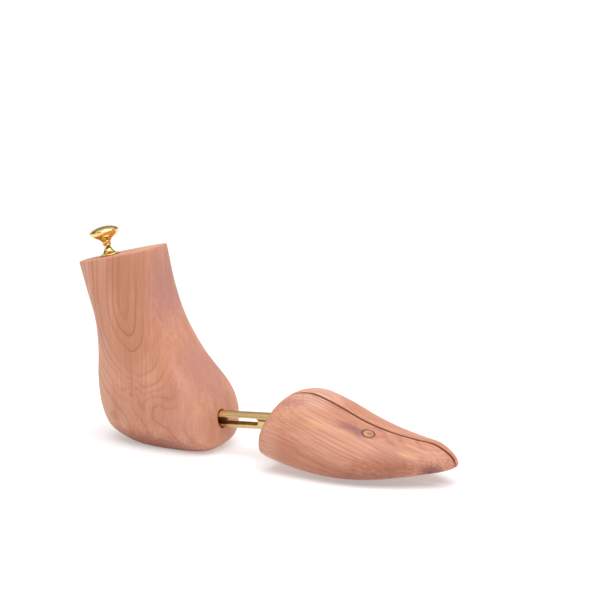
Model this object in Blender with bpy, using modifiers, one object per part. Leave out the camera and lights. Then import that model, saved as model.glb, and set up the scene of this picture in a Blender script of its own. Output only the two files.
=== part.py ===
"""Cedar shoe tree for a right shoe: full heel block, sprung slotted tube and split forepart.

Sizes are in millimetres and become metres when a mesh is made. +X points to the toe, +Y to the
medial (inner) side of the foot and +Z up. The origin lies on the heel's flat seat. The tube's axis
lies in the plane Y = 0, which is also the plane of the forepart's split.
"""

import math

import bmesh
import bpy
import numpy as np
from mathutils import Matrix, Vector

MM = 0.001
FIT = 0.2  # radial gap round a pin, rod or plug in its hole
FACE_GAP = 0.3  # gap between faces that rest on each other
ROUND = 24  # sides of a small round piece

# Heel block: each row is one section, from seat to top, through its rearmost and foremost points
# (back x, back z, front x, front z, half width, how square its front is).
HEEL_SECTIONS = [
    (-33, -1.0, 25.5, -1.0, 14.2, 2.8),
    (-44, 3, 31.8, 2, 19.3, 3.6),
    (-55.3, 11, 37.2, 9, 25.4, 5.0),
    (-60.8, 26, 36.8, 23, 30.5, 6.0),
    (-63, 45, 31, 41, 30.5, 5.2),
    (-62.6, 66, 13.8, 64, 28.2, 3.6),
    (-65, 86, 0.1, 88, 25.5, 3.1),
    (-72.4, 107, -8.4, 112, 23, 3.2),
    (-78.8, 124.2, -14.5, 140.7, 20.9, 3.3),
]
HEEL_MIDDLE_Y = 3.0  # the block stands this far to the medial side of the tube
HEEL_RINGS = 24
HEEL_SIDES = 40
HEEL_BACK_SQUARENESS = 2.15  # superellipse exponent of a section's back half

# Forepart before it is sawn in two, from the rear face to the toe
# (x, lateral half width, medial half width, bottom z, ridge z, z of the widest line, ridge y).
FORE_SECTIONS = [
    (83.0, 22, 20, 12, 34, 23.3, 3),
    (84.0, 33.5, 27.0, 9.5, 38.5, 21.5, 4),
    (88.0, 36, 31.5, 7.8, 46, 19.9, 6),
    (97.5, 36.2, 34.8, 4.4, 50.4, 18.6, 8),
    (110, 36.6, 37.2, 1.4, 51.0, 17.3, 9),
    (128, 37.7, 37.7, -0.4, 45.2, 15.7, 9),
    (148, 36.8, 35.0, -0.2, 37.0, 14.1, 8),
    (168, 32.3, 30.6, 2.2, 31.6, 13.1, 6),
    (186, 24.8, 24.7, 5.6, 29.0, 12.9, 4),
    (199.5, 17.2, 17.7, 8.5, 27.6, 13.3, 3),
    (208.5, 11.1, 11.6, 10.4, 23.6, 13.9, 2.5),
    (213.2, 6.2, 8.1, 11.9, 20.0, 14.6, 2),
    (215, 2.6, 5.2, 12.8, 17.0, 15.1, 2),
]
FORE_RINGS = 32
FORE_SIDES = 44
FORE_TOP_SQUARENESS = 2.1
FORE_SOLE_SQUARENESS = 3.0
SPLIT = 2.4  # width of the gap between the halves, with the springs holding them apart
SPREAD_TRAVEL = 2.0  # how far the lateral half can be squeezed towards the medial one
EASE = 0.9  # rounding of the blocks' sawn edges

# Tube and heel bore, along the tube's axis, which rises towards the toe.
AXIS_RISE = math.radians(4.6)
AXIS_POINT = Vector((24, 0, 22.6))  # where the heel's cross pin meets the axis
TUBE_RADIUS = 6.0
TUBE_WALL = 0.9
TUBE_REAR = -14.0  # distances along the axis from the cross pin
TUBE_FRONT = 101.0
SLOT_REAR = -2.5
SLOT_FRONT = 44.5
SLOT_HEIGHT = 5.0
BORE_RADIUS = 6.75
BORE_BOTTOM = -68.0
HEEL_PIN_RADIUS = 2.0
HEEL_PIN_LATERAL = -17.0  # y of the pin's ends
HEEL_PIN_MEDIAL = 23.0
HEEL_PLUG_RADIUS = 4.0
CAP_HEAD = 2.0
CAP_SPIGOT = 7.0
WASHER_THICKNESS = 1.2
MAIN_WIRE = 0.7
MAIN_COIL = 5.2
MAIN_TURNS = 8

# Pins, rod and springs that join the two halves of the forepart.
TUBE_PIN_AT = 84.0  # along the tube's axis
TUBE_PIN_RADIUS = 2.0
TUBE_PIN_LATERAL = -18.0
TUBE_PIN_MEDIAL = 20.0
TUBE_PLUG_RADIUS = 4.0
ROD_AT = (157, 16)  # x and z of the guide rod
ROD_RADIUS = 3.2
ROD_LATERAL = -20.0
ROD_MEDIAL = 19.0
STOP_PIN_Y = -13.0
STOP_PIN_RADIUS = 1.25
STOP_PIN_FOOT = 8.0
STOP_PIN_HEAD = 27.0
STOP_PLUG_RADIUS = 4.2
SPREAD_SPRINGS = {"rear_spread_spring": (136, 17), "front_spread_spring": (180, 14.5)}
SPREAD_POCKET_RADIUS = 4.3
SPREAD_POCKET_DEPTH = 9.0
SPREAD_WIRE = 0.45
SPREAD_COIL = 3.4
SPREAD_TURNS = 6

# Knob, along its own axis, which stands square on the heel's sloping top.
KNOB_FROM_BACK = 0.34  # place on the top's length
KNOB_FOOT = [(8.0, 0.0), (8.0, 0.7), (6.6, 1.1), (4.5, 2.0), (3.4, 3.4), (2.85, 5.0), (2.8, 7.7)]
KNOB_HEAD = [
    (3.3, 8.0), (3.35, 9.6), (4.3, 10.9), (6.0, 12.0), (8.0, 13.1), (9.6, 14.4), (10.5, 15.8),
    (10.9, 17.0), (10.5, 17.8), (9.0, 19.0), (6.3, 20.1), (3.2, 20.8), (0.0, 21.0),
]
STUD_RADIUS = 2.0
STUD_INTO_KNOB = 13.0
STUD_INTO_HEEL = 26.0

CEDAR = ("cedar", (0.62, 0.33, 0.21), 0.55, 0.0)
BRASS = ("brass", (0.80, 0.58, 0.22), 0.18, 1.0)
STEEL = ("steel", (0.60, 0.60, 0.60), 0.35, 1.0)
NYLON = ("nylon", (0.85, 0.83, 0.76), 0.5, 0.0)


def material(spec):
    name, colour, roughness, metallic = spec
    made = bpy.data.materials.get(name)
    if made is None:
        made = bpy.data.materials.new(name)
        made.use_nodes = True
        shader = made.node_tree.nodes["Principled BSDF"]
        shader.inputs["Base Color"].default_value = (*colour, 1)
        shader.inputs["Roughness"].default_value = roughness
        shader.inputs["Metallic"].default_value = metallic
    return made


def clear_scene():
    for obj in list(bpy.data.objects):
        bpy.data.objects.remove(obj)
    for collection in list(bpy.data.collections):
        bpy.data.collections.remove(collection)


def collection_named(name):
    made = bpy.data.collections.new(name)
    bpy.context.scene.collection.children.link(made)
    return made


def add_object(name, data, spec=None):
    """A part when it has a material, otherwise a cutter."""
    obj = bpy.data.objects.new(name, data)
    if spec is None:
        bpy.data.collections["cutters"].objects.link(obj)
        obj.hide_render = True
        obj.display_type = "WIRE"
    else:
        bpy.data.collections["shoe_tree"].objects.link(obj)
        data.materials.append(material(spec))
    return obj


def mesh_from(bm, name):
    bmesh.ops.recalc_face_normals(bm, faces=bm.faces)
    mesh = bpy.data.meshes.new(name)
    bm.to_mesh(mesh)
    bm.free()
    mesh.shade_smooth()
    mesh.set_sharp_from_angle(angle=math.radians(35))
    return mesh


def curve_through(rows, count):
    """The rows resampled along a smooth curve that passes through each of them."""
    table = np.array(rows, float)
    slopes = np.gradient(table, axis=0)
    at = np.linspace(0, len(table) - 1, count)
    left = np.minimum(at.astype(int), len(table) - 2)
    t = (at - left)[:, None]
    return (
        table[left] * (2 * t**3 - 3 * t**2 + 1)
        + slopes[left] * (t**3 - 2 * t**2 + t)
        + table[left + 1] * (3 * t**2 - 2 * t**3)
        + slopes[left + 1] * (t**3 - t**2)
    )


def oval_reach(angle, across, up, squareness):
    """Distance from the middle of a superellipse quadrant to its edge, at this angle."""
    c = abs(math.cos(angle)) / across
    s = abs(math.sin(angle)) / up
    return (c**squareness + s**squareness) ** (-1 / squareness)


def heel_ring(back_x, back_z, front_x, front_z, half_width, front_squareness):
    middle_x = (back_x + front_x) / 2
    middle_z = (back_z + front_z) / 2
    half_length = (front_x - back_x) / 2
    slope = (front_z - back_z) / (front_x - back_x)
    ring = []
    for i in range(HEEL_SIDES):
        angle = 2 * math.pi * i / HEEL_SIDES
        squareness = front_squareness if math.cos(angle) > 0 else HEEL_BACK_SQUARENESS
        reach = oval_reach(angle, half_length, half_width, squareness)
        x = reach * math.cos(angle)
        y = HEEL_MIDDLE_Y + reach * math.sin(angle)
        ring.append(Vector((middle_x + x, y, middle_z + x * slope)))
    return ring


def fore_ring(x, lateral, medial, bottom, ridge, wide, ridge_y):
    ring = []
    for i in range(FORE_SIDES):
        angle = 2 * math.pi * i / FORE_SIDES
        across = medial - ridge_y if math.cos(angle) > 0 else lateral + ridge_y
        above = math.sin(angle) > 0
        up = ridge - wide if above else wide - bottom
        squareness = FORE_TOP_SQUARENESS if above else FORE_SOLE_SQUARENESS
        reach = oval_reach(angle, across, up, squareness)
        ring.append(Vector((x, ridge_y + reach * math.cos(angle), wide + reach * math.sin(angle))))
    return ring


def loft(rings):
    """A closed skin over rings of equal count, with a flat cap at each end."""
    bm = bmesh.new()
    rows = [[bm.verts.new(point * MM) for point in ring] for ring in rings]
    for lower, upper in zip(rows, rows[1:]):
        for i in range(len(lower)):
            j = (i + 1) % len(lower)
            bm.faces.new((lower[i], lower[j], upper[j], upper[i]))
    bm.faces.new(rows[0])
    bm.faces.new(rows[-1])
    return bm


def saw(bm, point, normal):
    """Removes what lies on the normal's side of a plane, and closes the cut with one flat face."""
    geometry = bm.verts[:] + bm.edges[:] + bm.faces[:]
    cut = bmesh.ops.bisect_plane(
        bm, geom=geometry, plane_co=Vector(point) * MM, plane_no=Vector(normal),
        clear_outer=True, dist=1e-7,
    )
    edges = [item for item in cut["geom_cut"] if isinstance(item, bmesh.types.BMEdge)]
    bmesh.ops.contextual_create(bm, geom=edges)


def rod(name, start, end, radius, spec=None, end_radius=None, sides=ROUND):
    """A round bar between two points, tapering if end_radius is given."""
    start, end = Vector(start) * MM, Vector(end) * MM
    along = end - start
    bm = bmesh.new()
    bmesh.ops.create_cone(
        bm, cap_ends=True, segments=sides, radius1=radius * MM,
        radius2=(radius if end_radius is None else end_radius) * MM, depth=along.length,
    )
    obj = add_object(name, mesh_from(bm, name), spec)
    turn = along.to_track_quat("Z", "Y").to_matrix().to_4x4()
    obj.matrix_world = Matrix.Translation((start + end) / 2) @ turn
    return obj


def across(name, x, z, start_y, end_y, radius, spec=None, sides=ROUND):
    return rod(name, (x, start_y, z), (x, end_y, z), radius, spec, sides=sides)


def soften(obj, width):
    bevel = obj.modifiers.new("edges", "BEVEL")
    bevel.width = width * MM
    bevel.segments = 1
    bevel.angle_limit = math.radians(50)


def turned(name, profile, spec, steps):
    """A profile of (radius, height), listed upwards, turned about the local Z axis."""
    mesh = bpy.data.meshes.new(name)
    points = [(radius * MM, 0, height * MM) for radius, height in reversed(profile)]
    mesh.from_pydata(points, [(i, i + 1) for i in range(len(points) - 1)], [])
    obj = add_object(name, mesh, spec)
    screw = obj.modifiers.new("turn", "SCREW")
    screw.steps = screw.render_steps = steps
    screw.use_merge_vertices = True
    screw.merge_threshold = 0.00001
    screw.use_smooth_shade = True
    return obj


def cut(obj, *cutters):
    for cutter in cutters:
        boolean = obj.modifiers.new(cutter.name, "BOOLEAN")
        boolean.operation = "DIFFERENCE"
        boolean.object = cutter


def on_axis(distance):
    return AXIS_POINT + Vector((math.cos(AXIS_RISE), 0, math.sin(AXIS_RISE))) * distance


def axis_matrix(distance=0.0):
    """Local X runs along the tube's axis to the toe, from this distance in front of the cross pin."""
    return Matrix.Translation(on_axis(distance) * MM) @ Matrix.Rotation(-AXIS_RISE, 4, "Y")


def coil_spring(name, matrix, length, radius, wire, turns):
    """A compression spring along local X, with a closed turn at each end."""
    steps = 12 * turns
    closed = 1 / turns
    dead = 2.3 * wire
    curve = bpy.data.curves.new(name, "CURVE")
    curve.dimensions = "3D"
    curve.bevel_depth = wire * MM
    curve.bevel_resolution = 1
    curve.use_fill_caps = True
    spline = curve.splines.new("POLY")
    spline.points.add(steps)
    for i in range(steps + 1):
        share = i / steps
        pressed = min(share, closed) + max(share - 1 + closed, 0)
        open_share = min(max((share - closed) / (1 - 2 * closed), 0), 1)
        x = wire + pressed * turns * dead + open_share * (length - 2 * wire - 2 * dead)
        angle = 2 * math.pi * turns * share
        spline.points[i].co = (x * MM, radius * MM * math.cos(angle), radius * MM * math.sin(angle), 1)
    obj = add_object(name, curve, STEEL)
    obj.matrix_world = matrix
    return obj


def slot_cutter(name, matrix, start, end, height, depth):
    """A through slot with round ends: local X is its length and local Y the way it is cut."""
    radius = height / 2
    arc = [math.radians(a) for a in range(-90, 91, 15)]
    outline = [(end - radius + radius * math.cos(a), radius * math.sin(a)) for a in arc]
    outline += [(start + radius - radius * math.cos(a), -radius * math.sin(a)) for a in arc]
    bm = bmesh.new()
    near = [bm.verts.new(Vector((x, -depth / 2, z)) * MM) for x, z in outline]
    far = [bm.verts.new(Vector((x, depth / 2, z)) * MM) for x, z in outline]
    for i in range(len(outline)):
        j = (i + 1) % len(outline)
        bm.faces.new((near[i], near[j], far[j], far[i]))
    bm.faces.new(near)
    bm.faces.new(far)
    obj = add_object(name, mesh_from(bm, name))
    obj.matrix_world = matrix
    return obj


def heel_skin():
    """The heel block's outside: lofted sections, sawn flat at the seat, with the top's edge eased."""
    rows = curve_through(HEEL_SECTIONS, HEEL_RINGS)
    rings = [heel_ring(*row) for row in rows]
    _, up = knob_place()
    back_x, back_z, front_x, front_z, half_width, squareness = HEEL_SECTIONS[-1]
    slope = (front_z - back_z) / (front_x - back_x)
    for inset, rise in ((0.3, 0.7), (1.0, 1.0)):
        e = EASE * inset
        inner = (back_x + e, back_z + e * slope, front_x - e, front_z - e * slope, half_width - e)
        rings.append([point + up * EASE * rise for point in heel_ring(*inner, squareness)])
    bm = loft(rings)
    saw(bm, (0, 0, 0), (0, 0, -1))
    return bm


def heel_block():
    heel = add_object("heel_block", mesh_from(heel_skin(), "heel_block"), CEDAR)
    x, z = AXIS_POINT.x, AXIS_POINT.z
    base, up = knob_place()
    cut(
        heel,
        rod("heel_bore", on_axis(BORE_BOTTOM), on_axis(60), BORE_RADIUS, sides=36),
        rod("heel_pin_hole", (x, HEEL_PIN_LATERAL - FACE_GAP, z), (x, 45, z), HEEL_PIN_RADIUS + FIT),
        rod("heel_plug_hole", (x, HEEL_PIN_MEDIAL, z), (x, 45, z), HEEL_PLUG_RADIUS),
        rod("heel_stud_hole", base - up * (STUD_INTO_HEEL + 1), base + up * 5, STUD_RADIUS + FIT),
    )


def plug(name, skin, start, end, radius):
    """A wooden plug whose outer end follows the surface of the block that it closes."""
    made = rod(name, start, end, radius, CEDAR)
    trim = made.modifiers.new("flush", "BOOLEAN")
    trim.operation = "INTERSECT"
    trim.object = skin


def heel_pin_and_plug():
    x, z = AXIS_POINT.x, AXIS_POINT.z
    pin = across(
        "heel_cross_pin", x, z, HEEL_PIN_LATERAL, HEEL_PIN_MEDIAL - FACE_GAP, HEEL_PIN_RADIUS, STEEL
    )
    soften(pin, 0.4)
    skin = add_object("heel_skin", mesh_from(heel_skin(), "heel_skin"))
    plug("heel_pin_plug", skin, (x, HEEL_PIN_MEDIAL + FACE_GAP, z), (x, 45, z), HEEL_PLUG_RADIUS - FIT)


def knob_place():
    """Foot of the knob's axis on the heel's top, and the axis's direction."""
    back_x, back_z, front_x, front_z, _, _ = HEEL_SECTIONS[-1]
    along = Vector((front_x - back_x, 0, front_z - back_z))
    up = Vector((-along.z, 0, along.x)).normalized()
    back = Vector((back_x, HEEL_MIDDLE_Y, back_z))
    return back + along * KNOB_FROM_BACK + up * EASE, up


def knob():
    base, up = knob_place()
    seat = base + up * FACE_GAP
    turn = up.to_track_quat("Z", "Y").to_matrix().to_4x4()
    core = STUD_RADIUS + FIT
    foot = turned("knob_foot", [(core, 0.0), *KNOB_FOOT, (core, KNOB_FOOT[-1][1]), (core, 0.0)], BRASS, 36)
    roof = STUD_INTO_KNOB + 0.5
    head = turned(
        "knob_head", [(0.0, roof), (core, roof), (core, KNOB_HEAD[0][1]), *KNOB_HEAD], BRASS, 36
    )
    for piece in (foot, head):
        piece.matrix_world = Matrix.Translation(seat * MM) @ turn
    stud = rod("knob_stud", base - up * STUD_INTO_HEEL, seat + up * STUD_INTO_KNOB, STUD_RADIUS, STEEL)
    soften(stud, 0.4)


def slider_tube():
    profile = [
        (TUBE_RADIUS - TUBE_WALL, TUBE_REAR), (TUBE_RADIUS, TUBE_REAR),
        (TUBE_RADIUS, TUBE_FRONT), (TUBE_RADIUS - TUBE_WALL, TUBE_FRONT),
        (TUBE_RADIUS - TUBE_WALL, TUBE_REAR),
    ]
    tube = turned("slider_tube", profile, BRASS, 36)
    tube.matrix_world = axis_matrix() @ Matrix.Rotation(math.radians(90), 4, "Y")
    cut(
        tube,
        slot_cutter("tube_slot", axis_matrix(), SLOT_REAR, SLOT_FRONT, SLOT_HEIGHT, 20),
        rod(
            "tube_pin_bore", on_axis(TUBE_PIN_AT) - Vector((0, 10, 0)),
            on_axis(TUBE_PIN_AT) + Vector((0, 10, 0)), TUBE_PIN_RADIUS + FIT,
        ),
    )


def tube_end_cap():
    inside = TUBE_RADIUS - TUBE_WALL - FIT
    back = TUBE_REAR - FACE_GAP - CAP_HEAD
    profile = [
        (0.0, back), (TUBE_RADIUS - 0.5, back), (TUBE_RADIUS, back + 0.5),
        (TUBE_RADIUS, TUBE_REAR - FACE_GAP), (inside, TUBE_REAR - FACE_GAP),
        (inside, TUBE_REAR + CAP_SPIGOT - 0.8), (inside - 0.8, TUBE_REAR + CAP_SPIGOT),
        (0.0, TUBE_REAR + CAP_SPIGOT),
    ]
    cap = turned("tube_end_cap", profile, NYLON, 28)
    cap.matrix_world = axis_matrix() @ Matrix.Rotation(math.radians(90), 4, "Y")


def tube_front_plug():
    """Closes the tube's front end against the sides of the forepart's bore."""
    inside = TUBE_RADIUS - TUBE_WALL - FIT
    profile = [
        (0.0, TUBE_FRONT - 9), (inside - 0.8, TUBE_FRONT - 9), (inside, TUBE_FRONT - 8.2),
        (inside, TUBE_FRONT - 0.5), (inside - 0.5, TUBE_FRONT), (0.0, TUBE_FRONT),
    ]
    closer = turned("tube_front_plug", profile, NYLON, 24)
    closer.matrix_world = axis_matrix() @ Matrix.Rotation(math.radians(90), 4, "Y")


def spring_seat_washer():
    bottom = BORE_BOTTOM + FACE_GAP
    top = bottom + WASHER_THICKNESS
    outside = BORE_RADIUS - FACE_GAP
    profile = [(2.2, bottom), (outside, bottom), (outside, top), (2.2, top), (2.2, bottom)]
    washer = turned("spring_seat_washer", profile, STEEL, 28)
    washer.matrix_world = axis_matrix() @ Matrix.Rotation(math.radians(90), 4, "Y")


def main_spring():
    start = BORE_BOTTOM + FACE_GAP + WASHER_THICKNESS + FACE_GAP
    length = TUBE_REAR - FACE_GAP - CAP_HEAD - FACE_GAP - start
    coil_spring("main_spring", axis_matrix(start), length, MAIN_COIL, MAIN_WIRE, MAIN_TURNS)


def forepart_skin(side=None):
    """The forepart's outside, whole, or the half on one side of the split (+1 medial, -1 lateral)."""
    bm = loft([fore_ring(*row) for row in curve_through(FORE_SECTIONS, FORE_RINGS)])
    saw(bm, (0, 0, 0), (0, 0, -1))
    if side:
        face = side * SPLIT / 2
        saw(bm, (0, face, 0), (0, -side, 0))
        rim = [edge for edge in bm.edges if all(abs(v.co.y - face * MM) < 1e-7 for v in edge.verts)]
        bmesh.ops.bevel(
            bm, geom=rim, offset=EASE * MM, offset_type="OFFSET", segments=2, profile=0.5,
            affect="EDGES", clamp_overlap=True,
        )
        bmesh.ops.remove_doubles(bm, verts=bm.verts, dist=1e-6)
        bmesh.ops.dissolve_degenerate(bm, edges=bm.edges, dist=1e-7)
    return bm


def forepart_halves():
    tube_pin = on_axis(TUBE_PIN_AT)
    rod_x, rod_z = ROD_AT
    tube_end = TUBE_FRONT + FACE_GAP
    name = "forepart_medial_half"
    medial = add_object(name, mesh_from(forepart_skin(1), name), CEDAR)
    name = "forepart_lateral_half"
    lateral = add_object(name, mesh_from(forepart_skin(-1), name), CEDAR)

    cut(
        medial,
        rod("medial_tube_bore", on_axis(30), on_axis(tube_end), TUBE_RADIUS + FIT, sides=36),
        across("medial_pin_hole", tube_pin.x, tube_pin.z, 0, 50, TUBE_PIN_RADIUS + FIT),
        across("medial_pin_plug_hole", tube_pin.x, tube_pin.z, TUBE_PIN_MEDIAL, 50, TUBE_PLUG_RADIUS),
        across("medial_rod_hole", rod_x, rod_z, 0, ROD_MEDIAL + FACE_GAP, ROD_RADIUS + FIT),
    )
    reach = SPREAD_TRAVEL + FACE_GAP  # room for what moves towards the lateral half when it is squeezed
    aside = Vector((0, reach, 0))
    pin_end = TUBE_PIN_LATERAL - reach
    cut(
        lateral,
        rod(
            "lateral_tube_bore", on_axis(30) - aside, on_axis(tube_end) - aside, TUBE_RADIUS + FACE_GAP,
            sides=36,
        ),
        across("lateral_pin_hole", tube_pin.x, tube_pin.z, pin_end, 0, TUBE_PIN_RADIUS + FIT),
        across("lateral_rod_hole", rod_x, rod_z, ROD_LATERAL - reach, 0, ROD_RADIUS + FIT),
        rod(
            "stop_pin_hole", (rod_x, STOP_PIN_Y, STOP_PIN_FOOT - FACE_GAP), (rod_x, STOP_PIN_Y, 60),
            STOP_PIN_RADIUS + FIT,
        ),
        rod(
            "stop_plug_hole", (rod_x, STOP_PIN_Y, STOP_PIN_HEAD), (rod_x, STOP_PIN_Y, 60), STOP_PLUG_RADIUS
        ),
    )
    for spring, (x, z) in SPREAD_SPRINGS.items():
        depth = SPLIT / 2 + SPREAD_POCKET_DEPTH
        cut(medial, across(f"medial_{spring}_pocket", x, z, 0, depth, SPREAD_POCKET_RADIUS))
        cut(lateral, across(f"lateral_{spring}_pocket", x, z, -depth, 0, SPREAD_POCKET_RADIUS))


def forepart_hardware():
    tube_pin = on_axis(TUBE_PIN_AT)
    rod_x, rod_z = ROD_AT
    pin = across(
        "tube_cross_pin", tube_pin.x, tube_pin.z, TUBE_PIN_LATERAL, TUBE_PIN_MEDIAL - FACE_GAP,
        TUBE_PIN_RADIUS, STEEL,
    )
    soften(pin, 0.4)
    skin = add_object("forepart_skin", mesh_from(forepart_skin(), "forepart_skin"))
    plug(
        "tube_pin_plug", skin, (tube_pin.x, TUBE_PIN_MEDIAL + FACE_GAP, tube_pin.z),
        (tube_pin.x, 50, tube_pin.z), TUBE_PLUG_RADIUS - FIT,
    )
    plug(
        "stop_pin_plug", skin, (rod_x, STOP_PIN_Y, STOP_PIN_HEAD + FACE_GAP), (rod_x, STOP_PIN_Y, 60),
        STOP_PLUG_RADIUS - FIT,
    )
    stop = rod(
        "stop_pin", (rod_x, STOP_PIN_Y, STOP_PIN_FOOT), (rod_x, STOP_PIN_Y, STOP_PIN_HEAD - FACE_GAP),
        STOP_PIN_RADIUS, STEEL,
    )
    soften(stop, 0.3)
    guide = across("guide_rod", rod_x, rod_z, ROD_LATERAL, ROD_MEDIAL, ROD_RADIUS, STEEL, sides=28)
    turn = Matrix.Translation(Vector((rod_x, 0, rod_z)) * MM) @ Matrix.Rotation(math.radians(90), 4, "Z")
    turn = turn @ Matrix.Rotation(math.radians(90), 4, "X")
    clear = STOP_PIN_RADIUS + FIT
    slot_end = STOP_PIN_Y + clear + SPREAD_TRAVEL
    cut(guide, slot_cutter("guide_rod_slot", turn, STOP_PIN_Y - clear, slot_end, 2 * clear, 12))
    for name, (x, z) in SPREAD_SPRINGS.items():
        half = SPLIT / 2 + SPREAD_POCKET_DEPTH - FACE_GAP
        matrix = Matrix.Translation(Vector((x, -half, z)) * MM) @ Matrix.Rotation(math.radians(90), 4, "Z")
        coil_spring(name, matrix, 2 * half, SPREAD_COIL, SPREAD_WIRE, SPREAD_TURNS)


def main():
    clear_scene()
    collection_named("shoe_tree")
    collection_named("cutters")
    heel_block()
    heel_pin_and_plug()
    knob()
    spring_seat_washer()
    main_spring()
    slider_tube()
    tube_end_cap()
    tube_front_plug()
    forepart_halves()
    forepart_hardware()


main()
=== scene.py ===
"""Looks of the cedar shoe tree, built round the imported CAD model.

Shapes are worked out in millimetres in the row frame: +X to the toe, +Y to the medial side, +Z up.
"""

import math

import bmesh
import bpy
import numpy as np
from mathutils import Matrix, Vector


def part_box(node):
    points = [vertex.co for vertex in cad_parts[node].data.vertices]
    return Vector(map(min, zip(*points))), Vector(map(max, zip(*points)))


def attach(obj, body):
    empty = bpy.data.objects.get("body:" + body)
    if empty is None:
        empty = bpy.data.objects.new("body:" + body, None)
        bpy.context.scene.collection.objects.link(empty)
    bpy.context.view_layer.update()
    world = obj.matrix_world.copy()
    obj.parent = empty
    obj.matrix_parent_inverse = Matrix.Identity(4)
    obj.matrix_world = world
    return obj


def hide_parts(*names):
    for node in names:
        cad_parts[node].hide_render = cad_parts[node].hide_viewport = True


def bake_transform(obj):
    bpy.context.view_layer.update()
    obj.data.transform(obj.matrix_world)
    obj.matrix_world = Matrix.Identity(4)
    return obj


MM = 0.001

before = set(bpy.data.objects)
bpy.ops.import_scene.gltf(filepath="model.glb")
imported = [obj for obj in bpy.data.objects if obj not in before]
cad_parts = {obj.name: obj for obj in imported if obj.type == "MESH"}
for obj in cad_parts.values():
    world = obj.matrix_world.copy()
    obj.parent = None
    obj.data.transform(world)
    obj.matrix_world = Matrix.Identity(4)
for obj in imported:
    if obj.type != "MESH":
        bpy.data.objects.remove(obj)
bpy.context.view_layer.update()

# ---------------------------------------------------------------- driving sizes, as in the CAD model

# back x, back z, front x, front z, half width, how square the front is
HEEL_SECTIONS = [
    (-33, -1.0, 25.5, -1.0, 14.2, 2.8),
    (-44, 3, 31.8, 2, 19.3, 3.6),
    (-55.3, 11, 37.2, 9, 25.4, 5.0),
    (-60.8, 26, 36.8, 23, 30.5, 6.0),
    (-63, 45, 31, 41, 30.5, 5.2),
    (-62.6, 66, 13.8, 64, 28.2, 3.6),
    (-65, 86, 0.1, 88, 25.5, 3.1),
    (-72.4, 107, -8.4, 112, 23, 3.2),
    (-78.8, 124.2, -14.5, 140.7, 20.9, 3.3),
]
HEEL_MIDDLE_Y = 3.0
HEEL_BACK_SQUARENESS = 2.15

# x, lateral half width, medial half width, bottom z, ridge z, z of the widest line, ridge y
FORE_SECTIONS = [
    (83.0, 22, 20, 12, 34, 23.3, 3),
    (84.0, 33.5, 27.0, 9.5, 38.5, 21.5, 4),
    (88.0, 36, 31.5, 7.8, 46, 19.9, 6),
    (97.5, 36.2, 34.8, 4.4, 50.4, 18.6, 8),
    (110, 36.6, 37.2, 1.4, 51.0, 17.3, 9),
    (128, 37.7, 37.7, -0.4, 45.2, 15.7, 9),
    (148, 36.8, 35.0, -0.2, 37.0, 14.1, 8),
    (168, 32.3, 30.6, 2.2, 31.6, 13.1, 6),
    (186, 24.8, 24.7, 5.6, 29.0, 12.9, 4),
    (199.5, 17.2, 17.7, 8.5, 27.6, 13.3, 3),
    (208.5, 11.1, 11.6, 10.4, 23.6, 13.9, 2.5),
    (213.2, 6.2, 8.1, 11.9, 20.0, 14.6, 2),
    (215, 2.6, 5.2, 12.8, 17.0, 15.1, 2),
]
FORE_TOP_SQUARENESS = 2.1
FORE_SOLE_SQUARENESS = 3.0
SPLIT = 2.4
EASE = 0.9

AXIS_RISE = math.radians(4.6)
AXIS_POINT = Vector((24, 0, 22.6))
TUBE_RADIUS = 6.0
TUBE_WALL = 0.9
TUBE_REAR = -14.0
TUBE_FRONT = 101.0
SLOT = (-2.5, 44.5, 5.0)  # from, to and height
TUBE_PIN_AT = 84.0
BORE_RADIUS = 6.75
BORE_BOTTOM = -68.0
HEEL_PIN_LATERAL = -17.3
HEEL_PIN_MEDIAL = 23.0
TUBE_PIN_LATERAL = -20.3
TUBE_PIN_MEDIAL = 20.0
PIN_HOLE_RADIUS = 2.2
PLUG_RADIUS = 4.0
KNOB_HOLE_DEPTH = 27.0
KNOB_GAP = 0.3
STOP_PLUG_RADIUS = 4.2
STOP_PLUG_BOTTOM = 27.0
STOP_PIN = (157.0, -13.0)
STOP_PIN_HOLE = (1.45, 7.7)  # radius, and z of the bottom
SPREAD_SPRINGS = ((136.0, 17.0), (180.0, 14.5))
SPREAD_POCKET = (4.3, 10.2)  # radius, and y of the bottom
GUIDE_ROD = (157.0, 16.0)
ROD_HOLE = (3.4, -22.3, 19.3)  # radius, and y of the lateral and the medial end
MAIN_SPRING = (-66.2, -16.6, 5.2, 0.7, 8)  # from and to along the axis, coil and wire radius, turns
SPREAD_SPRING = (9.9, 3.4, 0.45, 6)  # half length, coil and wire radius, turns
SQUEEZE = 2.3  # room that the lateral half needs round what is fixed to the medial one
FIT = 0.3  # room round the tube in the lateral half and past its end
MEDIAL_FIT = 0.2
BEHIND_FOREPART = 30.0  # a place on the tube's axis between the two wooden parts
BEYOND = 50.0  # a cut that goes this far, forward, up or to the medial side, leaves the wood


# ---------------------------------------------------------------- meshes

BORE_SIDES = 96
PLUG_SIDES = 64
POCKET_SIDES = 48
PIN_SIDES = 32


def mesh_object(name, bm, smooth_angle=35):
    """An object with this mesh, shaded smooth except over edges sharper than the angle in degrees."""
    bmesh.ops.recalc_face_normals(bm, faces=bm.faces)
    mesh = bpy.data.meshes.new(name)
    bm.to_mesh(mesh)
    bm.free()
    mesh.shade_smooth()
    mesh.set_sharp_from_angle(angle=math.radians(smooth_angle))
    obj = bpy.data.objects.new(name, mesh)
    bpy.context.scene.collection.objects.link(obj)
    return obj


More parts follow.
